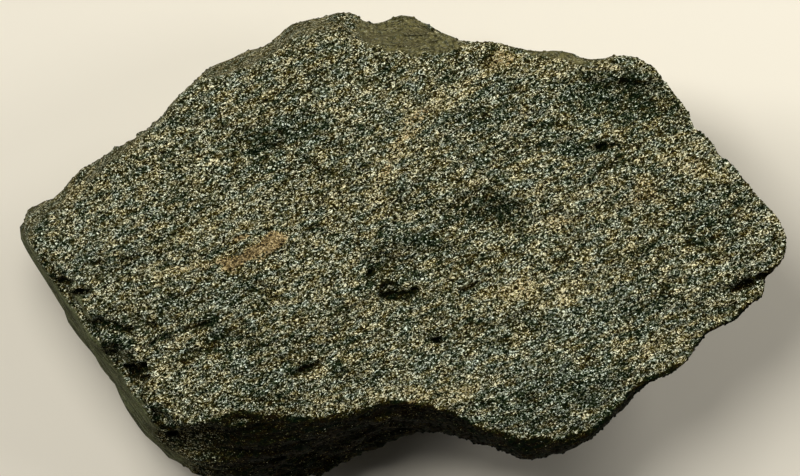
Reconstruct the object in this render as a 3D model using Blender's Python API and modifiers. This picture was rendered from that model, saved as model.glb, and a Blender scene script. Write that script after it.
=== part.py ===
"""Phosphorite hand specimen: one broken block of fine-grained rock that lies on a small flat spot.

The broad face looks up (+Z). Places are in millimetres on the specimen's own measuring grid:
x to the right from the left tip, y towards the two bumps of the upper edge, z from the base.
"""

import math

import bmesh
import bpy
from mathutils import Matrix, Vector, noise

MM = 0.001

# Driving sizes, in millimetres
WIDEST_LENGTH = 46.0
FACE_HEIGHT = 17.5

# Fineness of the surface: spacing of the sculpted mesh in millimetres, and triangles kept at the end
MESH_SPACING = 0.26
TRIANGLES = 8800

# Edge of the broad face, clockwise from the left tip, with how far it lies below the face
RIM = [
    (0.7, 15.8, 1.7), (1.5, 16.9, 1.9), (4.7, 18.8, 1.2), (8.2, 21.4, 0.9), (11.3, 23.8, 0.9),
    (14.6, 25.9, 0.9), (17.1, 27.6, 1.0), (18.6, 28.0, 1.1), (19.9, 27.7, 1.2), (20.7, 26.8, 0.9),
    (21.8, 26.4, 0.6), (25.4, 26.7, 0.7), (30.2, 26.3, 0.6), (32.6, 25.8, 0.4), (35.2, 25.9, 0.3),
    (36.7, 25.8, 0.3), (37.9, 25.2, 0.3), (38.9, 24.3, 0.3), (40.9, 21.7, 0.2), (43.7, 18.5, 0.2),
    (46.0, 15.3, 0.5), (45.9, 14.3, 0.7), (45.3, 13.6, 0.8), (44.7, 12.8, 0.8), (44.6, 11.5, 0.7),
    (41.7, 9.7, 0.5), (39.9, 7.7, 0.5), (36.8, 5.7, 0.5), (36.0, 4.6, 0.6), (34.3, 3.4, 0.7),
    (32.6, 2.7, 0.9), (30.7, 2.8, 0.6), (27.1, 3.7, 0.4), (24.9, 4.8, 0.4), (22.6, 5.3, 0.4),
    (19.3, 4.4, 0.4), (14.6, 4.1, 0.4), (10.7, 3.7, 0.6), (9.2, 3.8, 0.8), (8.2, 4.4, 0.6),
    (6.1, 7.4, 0.5), (3.6, 11.4, 0.7), (0.9, 15.0, 1.3),
]

# Widest outline of the block, in the same order, with its height above the base
SKIRT = [
    (0.0, 15.8, 9.0), (0.7, 17.1, 9.0), (2.4, 18.0, 9.0), (4.7, 20.0, 9.0), (6.7, 21.1, 9.5),
    (9.8, 23.5, 9.5), (11.0, 24.9, 9.5), (12.0, 25.6, 9.5), (15.2, 26.9, 9.5), (16.3, 27.8, 9.5),
    (17.5, 28.3, 9.5), (18.9, 28.6, 9.5), (20.0, 28.4, 10.0), (21.1, 28.0, 11.0), (22.2, 28.3, 10.5),
    (23.2, 28.5, 10.0), (24.2, 28.2, 10.0), (25.3, 27.6, 10.0), (27.4, 27.3, 10.5), (29.6, 26.9, 11.0),
    (31.9, 26.5, 12.0), (34.0, 25.9, 13.0), (37.3, 24.4, 11.0), (40.1, 20.7, 9.0), (43.9, 15.7, 9.0),
    (44.3, 14.4, 9.0), (42.7, 11.6, 8.0), (37.2, 6.9, 8.0), (34.2, 3.3, 10.0), (33.0, 2.5, 11.5),
    (30.2, 2.1, 12.5), (28.2, 3.0, 10.5), (25.2, 3.3, 8.0), (23.9, 3.2, 7.0), (22.7, 2.8, 6.0),
    (20.6, 1.5, 5.0), (19.0, 0.8, 5.0), (16.9, 0.2, 5.0), (15.1, 0.0, 5.0), (13.3, 0.1, 5.0),
    (10.2, 1.2, 5.0), (7.8, 3.2, 5.0), (4.9, 7.7, 6.0), (2.5, 11.1, 7.0), (0.1, 15.1, 8.5),
]

# Inside point that every outline can be seen from, and the stations round it; the first station
# is a little off the axis, so that no station meets a corner exactly
HEART = (22.6, 14.7)
STATIONS = 360
FIRST_STATION = 0.0005 - math.pi

# Rings between the middle of the face and its rim, and between the rim and the widest outline,
# as shares of the way; the face rolls off to its rim and the wall bellies out
FACE_RINGS = (0.25, 0.5, 0.72, 0.86, 0.95)
ROLL_OFF = 6
WALL_RINGS = (0.12, 0.35, 0.65)
BELLY = 0.8
FOOT_SHARE = 0.93
FOOT_BELOW_BASE = 3.0

# Fracture planes of the back and the walls: a point, and the outward normal of what is broken away
FRACTURES = {
    "back_right": ((31.0, 14.0, 0.0), (0.55, -0.03, -1.0)),
    "back_upper": ((18.0, 19.5, 0.0), (-0.12, 0.80, -1.0)),
    "back_left": ((12.5, 13.0, 0.0), (-0.72, 0.22, -1.0)),
    "back_lower": ((20.0, 8.6, 0.0), (0.10, -0.56, -1.0)),
    "right_heel": ((41.5, 15.0, 7.5), (0.85, -0.25, -0.75)),
    "lower_right_heel": ((35.0, 7.0, 7.0), (0.45, -0.75, -0.65)),
    "upper_right_heel": ((36.5, 21.5, 7.5), (0.50, 0.70, -0.60)),
    "upper_left_heel": ((7.5, 20.0, 6.0), (-0.55, 0.70, -0.62)),
    "lower_left_heel": ((6.5, 6.5, 4.0), (-0.80, -0.55, -0.80)),
}

# The rock parts along layers: their edges run up to the right across the broad face. Each layer's
# surface climbs over this share of its width and then drops, and forms are longer along the layers
LAYER_STRIKE = math.radians(22.0)
LAYER_DIP = math.radians(32.0)
LAYER_SPACING = 1.5
LAYER_STEP = 0.26
LAYER_CLIMB = 0.80
ALONG_LAYERS = 0.62

# Dished fracture facets: size across, the lean and the depth of each dish as shares of that size,
# then how much of them shows on the broad face and on the joint wall
FACETS = [
    (9.0, 0.10, 0.20, 0.35, 0.15),
    (4.2, 0.12, 0.23, 0.35, 0.25),
    (2.1, 0.12, 0.25, 0.50, 0.40),
]
DISH_MEAN = 0.32

# Swells between the facets: wavelength, height on the broad face, height on the walls
SWELLS = [(10.0, 0.45, 0.45), (2.8, 0.16, 0.26), (1.3, 0.11, 0.20)]

# Near the outline seen from above the walls are dented more than they bulge
OUTLINE_BAND = (-1.6, -0.3)
OUTLINE_INSET = 0.14
OUTLINE_BULGE_SHARE = 0.3

# The lower-left wall is a smooth joint plane that faces this way; both ends of a fade tell how well
# a surface must agree with a direction to belong to the joint wall or to the broad face
JOINT_NORMAL = Vector((-0.82, -0.57, 0.05)).normalized()
JOINT_FADE = (0.80, 0.95)
FACE_FADE = (0.40, 0.85)

# Dents and rises of the broad face: x, y, half length, half width, turn in degrees, depth
FACE_FORMS = {
    "hollow_under_right_bump": (36.6, 23.0, 3.2, 1.5, -14.0, 0.60),
    "crest_of_right_bump": (36.2, 25.2, 3.0, 0.8, -12.0, -0.35),
    "trough_beside_ridge": (24.0, 21.2, 5.4, 1.3, 56.0, 0.40),
    "ridge": (25.8, 21.6, 5.8, 0.8, 52.0, -0.45),
    "middle_hollow": (29.0, 16.3, 2.6, 1.4, -8.0, 0.40),
    "pit_basin": (23.6, 13.5, 2.8, 1.3, 10.0, 0.50),
    "left_hollow": (13.8, 20.8, 3.4, 1.4, -12.0, 0.32),
    "left_swell": (9.5, 17.0, 5.0, 2.0, 25.0, -0.30),
    "lower_left_basin": (14.0, 10.0, 4.0, 1.6, 70.0, 0.40),
    "lower_right_swell": (31.5, 7.0, 5.0, 2.4, 28.0, -0.30),
    "right_groove": (43.6, 12.4, 1.3, 0.45, 25.0, 0.35),
}

# Ledges on the broad face, their steep side down the face: x, y, half length, turn in degrees, step
LEDGES = {
    "long_left_ledge": (8.8, 10.1, 4.2, -3.0, 0.42),
    "upper_left_ledge": (6.9, 13.6, 2.0, 8.0, 0.30),
    "low_left_ledge": (9.0, 8.8, 1.7, 18.0, 0.34),
    "streak_ledge": (16.0, 5.7, 1.8, 12.0, 0.30),
    "pit_ledge": (22.8, 12.1, 2.1, 3.0, 0.42),
    "middle_ledge": (27.8, 12.8, 2.0, 12.0, 0.28),
    "scoop_ledge": (27.6, 16.6, 2.2, -6.0, 0.22),
    "crest_ledge": (36.4, 24.4, 3.0, -10.0, 0.34),
    "right_ledge": (42.9, 12.2, 1.9, 28.0, 0.36),
    "lower_right_ledge": (36.5, 9.2, 2.6, 24.0, 0.18),
    "upper_middle_ledge": (20.6, 19.6, 3.0, 33.0, 0.18),
    "right_middle_ledge": (38.0, 17.4, 2.8, 24.0, 0.18),
    "low_middle_ledge": (22.0, 7.9, 2.6, 20.0, 0.20),
}
LEDGE_REACH = 1.1
LEDGE_WANDER = 0.7
LEDGE_RISE_SHARE = 0.35

# How fast a form fades out past its half length and half width
FORM_FADE = 1.2

# Pits and chips, broken out as rough lumps: x, y, depth of the middle below the face,
# half length, half width, half height, turn in degrees
HOLES = {
    "upper_right_pit": (35.0, 20.6, 0.1, 0.46, 0.38, 0.80, 20.0),
    "middle_pit": (22.5, 11.8, 0.3, 1.05, 0.36, 0.75, 4.0),
    "small_middle_pit": (21.1, 13.1, 0.2, 0.45, 0.36, 0.45, 0.0),
    "lower_middle_pit": (25.1, 9.1, 0.2, 0.42, 0.36, 0.60, 0.0),
    "lower_left_pit": (17.2, 7.3, 0.1, 0.75, 0.36, 0.80, 24.0),
    "left_crack": (8.9, 8.8, 0.2, 1.20, 0.34, 0.55, 30.0),
    "left_crack_end": (7.3, 10.0, 0.2, 1.70, 0.34, 0.60, -2.0),
    "upper_left_chip": (3.1, 11.8, 0.6, 1.70, 0.85, 1.20, -57.0),
    "small_left_chip": (4.5, 9.8, 0.5, 1.00, 0.60, 0.90, -57.0),
    "big_left_chip": (6.3, 7.2, 0.6, 1.40, 1.10, 1.80, -57.0),
    "lower_left_chip": (8.8, 3.6, 0.5, 1.60, 0.85, 1.20, -18.0),
    "lower_rim_chip": (13.4, 3.9, 0.5, 1.10, 0.50, 0.90, 4.0),
    "right_rim_chip": (45.2, 12.7, 0.9, 0.80, 0.42, 0.90, 35.0),
    "lower_right_chip": (40.5, 8.0, 0.8, 0.80, 0.40, 0.90, 45.0),
}
HOLE_ROUGHNESS = 0.16

# Smoothing passes that take the even mesh's own grain off the edges
SMOOTHING_PASSES = 2

# A face belongs to the flat spot if it looks straight down and lies at the base
REST_FLATNESS = 0.999
SAME_HEIGHT = 1e-7

STONE_COLOUR = (0.102, 0.101, 0.056, 1.0)
STONE_ROUGHNESS = 0.85
SHARP_EDGE = math.radians(40.0)


def clear_scene():
    for obj in list(bpy.data.objects):
        bpy.data.objects.remove(obj, do_unlink=True)


def make_collection(name):
    collection = bpy.data.collections.new(name)
    bpy.context.scene.collection.children.link(collection)
    return collection


def stone_material():
    material = bpy.data.materials.new("Dark speckled phosphorite")
    material.use_nodes = True
    shader = material.node_tree.nodes["Principled BSDF"]
    shader.inputs["Base Color"].default_value = STONE_COLOUR
    shader.inputs["Roughness"].default_value = STONE_ROUGHNESS
    shader.inputs["Metallic"].default_value = 0.0
    return material


def smooth_step(low, high, value):
    share = min(1.0, max(0.0, (value - low) / (high - low)))
    return share * share * (3.0 - 2.0 * share)


def seen_from_heart(outline):
    """The outline's points as (angle round the heart, distance, height), by rising angle."""
    polar = []
    for x, y, height in outline:
        dx, dy = x - HEART[0], y - HEART[1]
        polar.append((math.atan2(dy, dx), math.hypot(dx, dy), height))
    return sorted(polar)


def station_point(polar, angle):
    """Where a ray from the heart at this angle meets the straight side between two outline points."""
    count = len(polar)
    after = next((i for i, entry in enumerate(polar) if entry[0] > angle), 0)
    angle_a, far_a, height_a = polar[after - 1]
    angle_b, far_b, height_b = polar[after % count]
    ax, ay = far_a * math.cos(angle_a), far_a * math.sin(angle_a)
    bx, by = far_b * math.cos(angle_b), far_b * math.sin(angle_b)
    ux, uy = math.cos(angle), math.sin(angle)
    side_x, side_y = bx - ax, by - ay
    share = (ay * ux - ax * uy) / (side_x * uy - side_y * ux)
    reach = (ax + share * side_x) * ux + (ay + share * side_y) * uy
    return reach, height_a + share * (height_b - height_a)


def ring_points(angle, rim, skirt):
    """Points of one station, from the middle of the face over the rim and down to the base."""
    rim_reach, rim_drop = station_point(rim, angle)
    skirt_reach, skirt_height = station_point(skirt, angle)
    rim_height = FACE_HEIGHT - rim_drop
    points = []
    for share in FACE_RINGS:
        points.append((share * rim_reach, FACE_HEIGHT - rim_drop * share ** ROLL_OFF))
    points.append((rim_reach, rim_height))
    for share in WALL_RINGS:
        belly = math.sin(0.5 * math.pi * share) ** BELLY
        points.append((
            rim_reach + belly * (skirt_reach - rim_reach),
            rim_height + share * (skirt_height - rim_height),
        ))
    points.append((skirt_reach, skirt_height))
    points.append((FOOT_SHARE * skirt_reach, -FOOT_BELOW_BASE))
    return points


def loft_stone():
    """Closed loft: rings of stations from the face to below the base, bridged one to the next."""
    rim, skirt = seen_from_heart(RIM), seen_from_heart(SKIRT)
    angles = [FIRST_STATION + 2.0 * math.pi * i / STATIONS for i in range(STATIONS)]
    columns = [ring_points(angle, rim, skirt) for angle in angles]
    mesh = bmesh.new()
    rings = []
    for level in range(len(columns[0])):
        ring = []
        for angle, column in zip(angles, columns):
            reach, height = column[level]
            x = HEART[0] + reach * math.cos(angle)
            y = HEART[1] + reach * math.sin(angle)
            ring.append(mesh.verts.new(Vector((x, y, height)) * MM))
        rings.append([mesh.edges.new((ring[i - 1], ring[i])) for i in range(STATIONS)])
    for upper, lower in zip(rings, rings[1:]):
        bmesh.ops.bridge_loops(mesh, edges=upper + lower)
    bmesh.ops.contextual_create(mesh, geom=rings[0])
    bmesh.ops.contextual_create(mesh, geom=rings[-1])
    bmesh.ops.recalc_face_normals(mesh, faces=mesh.faces)
    return mesh


def cut_away(mesh, point, normal):
    """Breaks off what lies beyond the plane and closes the block with one flat face."""
    whole = mesh.verts[:] + mesh.edges[:] + mesh.faces[:]
    cut = bmesh.ops.bisect_plane(
        mesh, geom=whole, dist=1e-7, plane_co=Vector(point) * MM,
        plane_no=Vector(normal).normalized(), clear_outer=True,
    )
    edges = [item for item in cut["geom_cut"] if isinstance(item, bmesh.types.BMEdge)]
    bmesh.ops.edgeloop_fill(mesh, edges=edges)
    bmesh.ops.recalc_face_normals(mesh, faces=mesh.faces)


def link_new(name, mesh, collection):
    data = bpy.data.meshes.new(name)
    mesh.to_mesh(data)
    mesh.free()
    obj = bpy.data.objects.new(name, data)
    collection.objects.link(obj)
    return obj


def applied(obj):
    """Makes what the object's modifiers show into its own mesh."""
    graph = bpy.context.evaluated_depsgraph_get()
    mesh = bpy.data.meshes.new_from_object(obj.evaluated_get(graph))
    obj.modifiers.clear()
    obj.data = mesh


def rough_lump(form, index):
    """One uneven lump that stands in the hole it breaks out."""
    x, y, below, half_length, half_width, half_height, turn = form
    mesh = bmesh.new()
    bmesh.ops.create_icosphere(mesh, subdivisions=3, radius=1.0)
    for vert in mesh.verts:
        rough = noise.noise(vert.co * 1.3 + Vector((index * 3.7, index * 1.9, 0.5)))
        fine = noise.noise(vert.co * 3.1 + Vector((index * 2.3, 8.0, index * 1.1)))
        vert.co *= 1.0 + HOLE_ROUGHNESS * (2.0 * rough + fine)
    sizes = Matrix.Diagonal((half_length * MM, half_width * MM, half_height * MM, 1.0))
    place = Matrix.Translation(Vector((x, y, FACE_HEIGHT - below)) * MM)
    bmesh.ops.transform(
        mesh, verts=mesh.verts, matrix=place @ Matrix.Rotation(math.radians(turn), 4, "Z") @ sizes,
    )
    return mesh


def break_out_holes(stone, collection):
    for index, (name, form) in enumerate(HOLES.items()):
        lump = link_new(name, rough_lump(form, index), collection)
        modifier = stone.modifiers.new(name, "BOOLEAN")
        modifier.operation = "DIFFERENCE"
        modifier.solver = "EXACT"
        modifier.object = lump
    applied(stone)
    for lump in list(collection.objects):
        bpy.data.objects.remove(lump, do_unlink=True)


def even_mesh(stone):
    """Remakes the stone's surface as small faces of one size."""
    modifier = stone.modifiers.new("Even faces", "REMESH")
    modifier.mode = "VOXEL"
    modifier.voxel_size = MESH_SPACING * MM
    applied(stone)


def fewer_faces(stone):
    """Leaves about the wanted number of triangles, fewest where the stone is flat."""
    modifier = stone.modifiers.new("Fewer faces", "DECIMATE")
    triangles = sum(len(polygon.vertices) - 2 for polygon in stone.data.polygons)
    modifier.ratio = TRIANGLES / triangles
    applied(stone)


def in_layers(point):
    """The point measured along the strike of the layers, down their dip, and across them."""
    strike_cos, strike_sin = math.cos(LAYER_STRIKE), math.sin(LAYER_STRIKE)
    dip_cos, dip_sin = math.cos(LAYER_DIP), math.sin(LAYER_DIP)
    along = point.x * strike_cos + point.y * strike_sin
    aside = point.y * strike_cos - point.x * strike_sin
    return Vector((
        ALONG_LAYERS * along,
        aside * dip_cos - point.z * dip_sin,
        aside * dip_sin + point.z * dip_cos,
    ))


def layer_ledge(place):
    """Height of the broken layer edges: each layer's surface climbs a little and ends in a step."""
    wander = 0.8 * noise.noise(place * 0.21) + 0.3 * noise.noise(place * 0.7 + Vector((7.0, 3.0, 1.0)))
    along = place.z / LAYER_SPACING + wander
    share = along - math.floor(along)
    sawtooth = share - smooth_step(LAYER_CLIMB, 1.0, share)
    strength = smooth_step(-0.2, 0.35, noise.noise(place * 0.17 + Vector((2.0, 9.0, 4.0))))
    return LAYER_STEP * strength * (sawtooth - 0.5 * LAYER_CLIMB)


def dished_facets(place, size, lean, dish):
    """The lowest of the leaning dishes round the nearest random spots, so they meet in ridges."""
    here = place / size + Vector((size, 2.0 * size, 11.3))
    _, spots = noise.voronoi(here)
    heights = []
    for spot in spots:
        away = here - spot
        tilt = noise.cell_vector(spot * 9.1) - Vector((0.5, 0.5, 0.5))
        heights.append(2.0 * lean * tilt.dot(away) + dish * (away.length_squared - DISH_MEAN))
    return size * min(heights)


def relief(place, on_face, on_joint):
    """How far the broken surface stands out here."""
    height = layer_ledge(place)
    for size, lean, dish, face_share, joint_share in FACETS:
        share = 1.0 + on_face * (face_share - 1.0) + on_joint * (joint_share - 1.0)
        height += share * dished_facets(place, size, lean, dish)
    for index, (wavelength, face_swell, wall_swell) in enumerate(SWELLS):
        swell = wall_swell + on_face * (face_swell - wall_swell)
        height += swell * noise.noise(place / wavelength + Vector((17.3 * index, 5.1, 31.7)))
    return height


def in_form(x, y, middle_x, middle_y, turn):
    """The point measured along and across a form that is turned by so many degrees."""
    turn_cos, turn_sin = math.cos(math.radians(turn)), math.sin(math.radians(turn))
    dx, dy = x - middle_x, y - middle_y
    return dx * turn_cos + dy * turn_sin, dy * turn_cos - dx * turn_sin


def face_form_height(x, y):
    """Dents, rises and ledges of the broad face: each ledge stands up on its upper side and drops below."""
    total = 0.0
    for middle_x, middle_y, half_length, half_width, turn, depth in FACE_FORMS.values():
        along, across = in_form(x, y, middle_x, middle_y, turn)
        total -= depth * math.exp(-FORM_FADE * ((along / half_length) ** 2 + (across / half_width) ** 2))
    for middle_x, middle_y, half_length, turn, step in LEDGES.values():
        along, across = in_form(x, y, middle_x, middle_y, turn)
        across += LEDGE_WANDER * noise.noise(Vector((0.9 * x, 0.9 * y, half_length)))
        strength = step * math.exp(-FORM_FADE * (along / half_length) ** 2)
        side = LEDGE_RISE_SHARE if across > 0.0 else LEDGE_RISE_SHARE - 1.0
        total += side * strength * math.exp(-abs(across) / LEDGE_REACH)
    return total


def outline_closeness(point, rim, skirt):
    """One at the outline seen from above, none well inside it."""
    dx, dy = point.x - HEART[0], point.y - HEART[1]
    angle = math.atan2(dy, dx)
    widest = max(station_point(rim, angle)[0], station_point(skirt, angle)[0])
    return smooth_step(*OUTLINE_BAND, math.hypot(dx, dy) - widest)


def sculpt(stone):
    """Moves each vertex of the even mesh, to give the surface its facets, ledges, dents and rises."""
    mesh = bmesh.new()
    mesh.from_mesh(stone.data)
    for _ in range(SMOOTHING_PASSES):
        bmesh.ops.smooth_vert(
            mesh, verts=mesh.verts, factor=0.5, use_axis_x=True, use_axis_y=True, use_axis_z=True,
        )
    mesh.normal_update()
    rim, skirt = seen_from_heart(RIM), seen_from_heart(SKIRT)
    moves = []
    for vert in mesh.verts:
        point, normal = vert.co / MM, vert.normal
        on_face = smooth_step(*FACE_FADE, normal.z)
        on_joint = smooth_step(*JOINT_FADE, normal.dot(JOINT_NORMAL))
        out = relief(in_layers(point), on_face, on_joint)
        if on_face < 1.0:
            close = (1.0 - on_face) * outline_closeness(point, rim, skirt)
            out -= close * (OUTLINE_INSET + (1.0 - OUTLINE_BULGE_SHARE) * max(0.0, out - OUTLINE_INSET))
        up = on_face * face_form_height(point.x, point.y) if on_face > 0.0 else 0.0
        moves.append(normal * out + Vector((0.0, 0.0, up)))
    for vert, move in zip(mesh.verts, moves):
        vert.co += move * MM
    mesh.to_mesh(stone.data)
    mesh.free()
    stone.data.update()


def rest_on_flat_spot(stone):
    """Cuts the back flat at the base, and puts the origin under the middle of the stone's box."""
    mesh = bmesh.new()
    mesh.from_mesh(stone.data)
    cut_away(mesh, (0.0, 0.0, 0.0), (0.0, 0.0, -1.0))
    xs = [vert.co.x for vert in mesh.verts]
    ys = [vert.co.y for vert in mesh.verts]
    middle = Vector(((min(xs) + max(xs)) / 2.0, (min(ys) + max(ys)) / 2.0, 0.0))
    scale = WIDEST_LENGTH * MM / (max(xs) - min(xs))
    bmesh.ops.translate(mesh, verts=mesh.verts, vec=-middle)
    bmesh.ops.transform(mesh, verts=mesh.verts, matrix=Matrix.Diagonal((scale, scale, scale, 1.0)))
    mesh.to_mesh(stone.data)
    mesh.free()


def make_stone(collection, cutters):
    mesh = loft_stone()
    for point, normal in FRACTURES.values():
        cut_away(mesh, point, normal)
    stone = link_new("stone", mesh, collection)
    break_out_holes(stone, cutters)
    even_mesh(stone)
    sculpt(stone)
    fewer_faces(stone)
    rest_on_flat_spot(stone)
    stone.data.name = "stone"
    stone.data.materials.clear()
    stone.data.materials.append(stone_material())
    stone.data.shade_smooth()
    stone.data.set_sharp_from_angle(angle=SHARP_EDGE)
    for polygon in stone.data.polygons:
        if polygon.normal.z < -REST_FLATNESS and abs(polygon.center.z) < SAME_HEIGHT:
            polygon.use_smooth = False
    return stone


def main():
    clear_scene()
    make_stone(make_collection("Phosphorite"), make_collection("Cutters"))


main()
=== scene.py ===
import math
from contextlib import contextmanager

import bmesh
import bpy
from mathutils import Color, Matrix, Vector, noise


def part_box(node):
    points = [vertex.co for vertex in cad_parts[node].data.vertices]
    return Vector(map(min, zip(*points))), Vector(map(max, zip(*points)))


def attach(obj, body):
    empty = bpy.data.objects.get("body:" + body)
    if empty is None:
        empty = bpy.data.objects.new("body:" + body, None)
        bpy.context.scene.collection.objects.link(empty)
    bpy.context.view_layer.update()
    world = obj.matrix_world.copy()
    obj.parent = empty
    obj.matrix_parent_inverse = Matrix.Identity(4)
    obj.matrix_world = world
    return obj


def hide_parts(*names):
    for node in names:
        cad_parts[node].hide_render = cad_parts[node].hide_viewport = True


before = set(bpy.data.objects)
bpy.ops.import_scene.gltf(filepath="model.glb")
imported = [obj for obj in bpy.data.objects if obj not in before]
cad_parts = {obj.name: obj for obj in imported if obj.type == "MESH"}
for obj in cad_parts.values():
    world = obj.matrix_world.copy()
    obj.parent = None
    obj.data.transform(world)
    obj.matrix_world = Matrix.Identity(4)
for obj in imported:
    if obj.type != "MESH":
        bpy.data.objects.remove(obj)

bl_info = {
    "name": "Phosphorite hand specimen",
    "version": (1, 0, 0),
    "blender": (4, 5, 0),
    "location": "3D View > Sidebar > Phosphorite",
    "description": "Dresses the solid of a phosphorite hand specimen with its broken, granular surface",
    "category": "Object",
}

# The sculpting is done in millimetres; the finished mesh is in metres
MM = 0.001
MOST_TRIANGLES = 190000
WELD = 1e-6
SMOOTH_PASSES = 4
# How far the broad face is spared when small faces are joined
FACE_KEPT = 0.9

# The photograph looks straight down on the broad face: the size of its frame on the stone, the
# point under its middle, and the height at which that size holds
PICTURE_WIDTH = 48.0 * MM
PICTURE_MIDDLE = (-0.12 * MM, 0.81 * MM)
PICTURE_LEVEL = 13.0 * MM
LENS = 800.0
SENSOR = 36.0
CLIP_START, CLIP_END = 0.05, 5.0

# The lamps: direction on the floor in degrees from +X, elevation in degrees, distance, and share of
# the lamps' power
LAMPS = {
    "lamp_upper_left": (150.0, 60.0, 0.30, 0.31),
    "lamp_high": (122.0, 75.0, 0.30, 0.42),
    "lamp_right": (10.0, 51.0, 0.30, 0.115),
    "lamp_near_right": (45.0, 35.0, 0.12, 0.046),
}
# Width of a lamp, as a share of its distance
LAMP_WIDTH = 0.28
FLOOR_REACH = 0.6
FLOOR_ROUGHNESS = 0.9

# The rock parts along layers whose edges run up to the right across the broad face: their direction,
# dip, spacing and step, the share of a layer where the step begins, and how much a distance along
# them counts in the relief
LAYER_STRIKE = math.radians(22.0)
LAYER_DIP = math.radians(32.0)
LAYER_SPACING = 0.75
LAYER_STEP = 0.20
LAYER_CLIMB = 0.80
ALONG_LAYERS = 0.62
# The noise's values between which ledges fade in, and the shares of a layer, from the middle of a
# step, between which its shaded foot does
LEDGE_FADE = (-0.1, 0.35)
LEDGE_FOOT = (0.10, 0.03)

# Small hackly facets: size across, lean and dish as shares of it; then the mean of a dish, the shift
# of their pattern, and the key that gives each facet its own lean
FACETS = [
    (1.5, 0.30, 0.20),
    (0.75, 0.30, 0.16),
]
DISH_MEAN = 0.32
FACET_LEVEL = 11.3
FACET_KEY = 9.1

# Smooth noises of the relief: strength, waves in a millimetre, and the pattern's shift
NOISES = {
    "layer_wander": (0.9, 0.5, (0.0, 0.0, 0.0)),
    "layer_ripple": (0.35, 1.7, (7.0, 3.0, 1.0)),
    "ledge_strength": (1.0, 0.45, (2.0, 9.0, 4.0)),
    "crack_wander": (0.12, 2.3, (0.0, 0.0, 0.0)),
    "crack_ripple": (0.07, 6.1, (0.0, 0.0, 0.0)),
    "crack_strength": (1.0, 1.1, (4.0, 1.0, 8.0)),
    "skin_edge": (0.15, 0.8, (0.0, 0.0, 0.0)),
    "lower_wall_shade_edge": (0.08, 2.0, (0.0, 0.0, 0.0)),
    "lumps": (0.16, 1.9, (3.1, 8.7, 1.9)),
    "crumbs": (0.5, 3.2, (5.0, 2.0, 9.0)),
}
# The finest relief: its height, the domes of its grains and their mean, and what is lost under skin
FINE_HEIGHT = 0.08
DOME_SIZE = 1.25
DOME_REACH = 0.75
FINE_MEAN = 0.6
FINE_UNDER_SKIN = 0.85

# The broad face looks up: the range of the normal's height over which it fades in, and the least
# height of the normal for finer faces
FACE_FADE = (0.40, 0.85)
FACE_LEAN = 0.35
# Its marks reach down to this height where the surface looks up by this much, and fade in from there
MARKS_LEVEL = 8.0
MARKS_FADE = (0.1, 0.4)

# The lower-left wall is a smooth joint plane: the way it faces, how nearly a spot has to face that
# way, where the joint ends in x, and how far out it lies
JOINT_NORMAL = Vector((-0.82, -0.57, 0.05)).normalized()
JOINT_FADE = (0.80, 0.95)
JOINT_END = (-9.0, -11.0)
JOINT_DEPTH = (17.6, 18.2)

# Painted shade: the lower wall, in deep shadow, is painted almost black to the right of the joint:
# how dark, where in x it reaches its full shade, and the share of the shade to the left of that
LOWER_WALL_SHADE_NORMAL = Vector((0.10, -0.98, -0.10)).normalized()
LOWER_WALL_SHADE_FADE = (0.48, 0.64)
LOWER_WALL_SHADE_START = (-12.8, -9.4)
LOWER_WALL_PAINTED_SHADE = 2.9
LOWER_WALL_SHADE_LEFT = 0.32

# The upper-left and upper walls have a thin, worn skin, in part; it covers the worn parts and the
# joint. It hides at most this share of the rock's own colour
SKIN_NORMAL = Vector((-0.55, 0.80, 0.25)).normalized()
SKIN_FADE = (0.45, 0.75)
SKIN_ON_WALLS = 0.40
SKIN_COVER = 0.82
# Depth of the pits and cracks between which the skin ends
SKIN_IN_PITS = (0.15, 0.02)

# How far the walls' surface stands out
WALL_LIFT = 0.12

# The share of the relief that is lost on the joint, the rim, the face and the even upper-right edge
CALM = {"joint": 0.75, "rim": 0.60, "face": 0.25, "even_edge": 0.85}
RIM_LEVEL = (8.0, 11.0)
EVEN_EDGE_START = (14.0, 16.5)
EVEN_EDGE_ABOVE = (-1.5, 0.5)

# Pits of the broad face, in millimetres: x, y, half length, half width, turn in degrees, depth
PITS = {
    "upper_right_pit": (11.94, 6.27, 0.36, 0.24, 10.0, 1.0),
    "upper_right_point": (12.48, 6.39, 0.28, 0.11, 5.0, 0.6),
    "crescent_pit": (-0.45, -2.60, 1.00, 0.22, -2.0, 0.7),
    "crescent_end": (0.45, -2.42, 0.42, 0.16, 18.0, 0.6),
    "comma_pit": (-1.86, -1.23, 0.26, 0.15, 45.0, 0.7),
    "lower_middle_pit": (2.04, -5.28, 0.28, 0.18, 10.0, 0.8),
    "long_lower_pit": (-5.70, -6.95, 0.80, 0.22, 24.0, 0.8),
    "left_rim_pit": (-20.16, -1.80, 0.36, 0.20, -20.0, 0.6),
    "left_rim_notch": (-19.20, -2.45, 0.50, 0.20, 6.0, 0.9),
    "lower_left_notch": (-15.95, -7.20, 0.62, 0.34, -38.0, 1.3),
    "lower_left_cleft": (-15.50, -6.95, 0.20, 0.50, 4.0, 1.1),
    "corner_notch": (-13.98, -10.35, 0.52, 0.20, -20.0, 0.7),
    "right_rim_notch": (21.54, -1.56, 0.42, 0.20, 18.0, 0.8),
    "right_groove": (20.40, -2.10, 0.75, 0.18, 22.0, 0.7),
    "upper_middle_spot": (3.66, 5.61, 0.22, 0.15, 10.0, 0.4),
    "middle_spot": (-2.64, 0.51, 0.20, 0.18, 0.0, 0.4),
}
# No pit reaches further than this from its middle
PIT_NEAR = 2.0
# How dark the painted shade of pits, cracks and the feet of ledges is, and the depth at which that holds
PIT_SHADE = 2.2
PIT_DARK = 0.5
CRACK_SHADE = 1.8
CRACK_DARK = 0.4
LEDGE_SHADE = 1.3

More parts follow.
